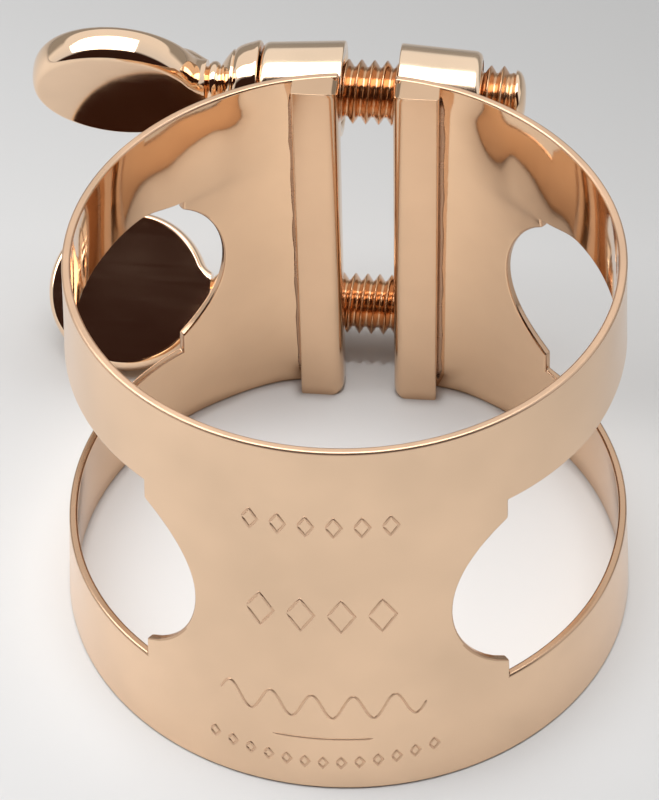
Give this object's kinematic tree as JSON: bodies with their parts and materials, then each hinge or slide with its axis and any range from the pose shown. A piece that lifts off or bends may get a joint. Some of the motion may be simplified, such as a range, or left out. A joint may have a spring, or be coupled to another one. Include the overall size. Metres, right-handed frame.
{
  "type": "saxophone ligature",
  "caption": "Split conical metal band that clamps a reed to a saxophone mouthpiece, with side windows, reed rails and a pair of thumb screws that draw the split together.",
  "frame": {"origin": "middle of the ring's lower rim, on the axis of the cone", "axes": "+Z along the cone's axis from the wide rim to the narrow rim, +Y towards the split and the screws, -X towards the screw paddles"},
  "size_m": [0.0343, 0.037, 0.0244],
  "materials": {
    "band_brass": "rose-gold plate, satin",
    "rail_brass": "rose-gold plate, satin",
    "barrel_brass": "rose-gold plate, polished",
    "screw_brass": "rose-gold plate, polished"
  },
  "bodies": {
    "clamp_left": {"band_left_half": "band_brass", "reed_rail_left": "rail_brass", "upper_plain_barrel": "barrel_brass", "lower_plain_barrel": "barrel_brass"},
    "clamp_right": {"band_right_half": "band_brass", "reed_rail_right": "rail_brass", "upper_threaded_barrel": "barrel_brass", "lower_threaded_barrel": "barrel_brass"},
    "upper_thumbscrew": {"upper_screw_stem": "screw_brass", "upper_screw_paddle": "screw_brass"},
    "lower_thumbscrew": {"lower_screw_stem": "screw_brass", "lower_screw_paddle": "screw_brass"}
  },
  "joints": [
    {"name": "upper_screw_turn", "type": "hinge", "parent": "clamp_left", "child": "upper_thumbscrew", "pos_m": [-0.00605, 0.01661, 0.0199], "axis": [1, 0, 0], "range_deg": [-180, 360]},
    {"name": "lower_screw_turn", "type": "hinge", "parent": "clamp_left", "child": "lower_thumbscrew", "pos_m": [-0.0066, 0.01753, 0.00335], "axis": [1, 0, 0], "range_deg": [-180, 360]},
    {"name": "band_flex", "type": "hinge", "parent": "clamp_left", "child": "clamp_right", "pos_m": [0, -0.01443, 0.0117], "axis": [0, 0, 1], "range_deg": [-0.7, 1.4]}
  ],
  "couplings": [
    {"joint": "lower_screw_turn", "follows": "upper_screw_turn", "ratio": 1},
    {"joint": "band_flex", "follows": "upper_screw_turn", "ratio": 0.003537}
  ]
}
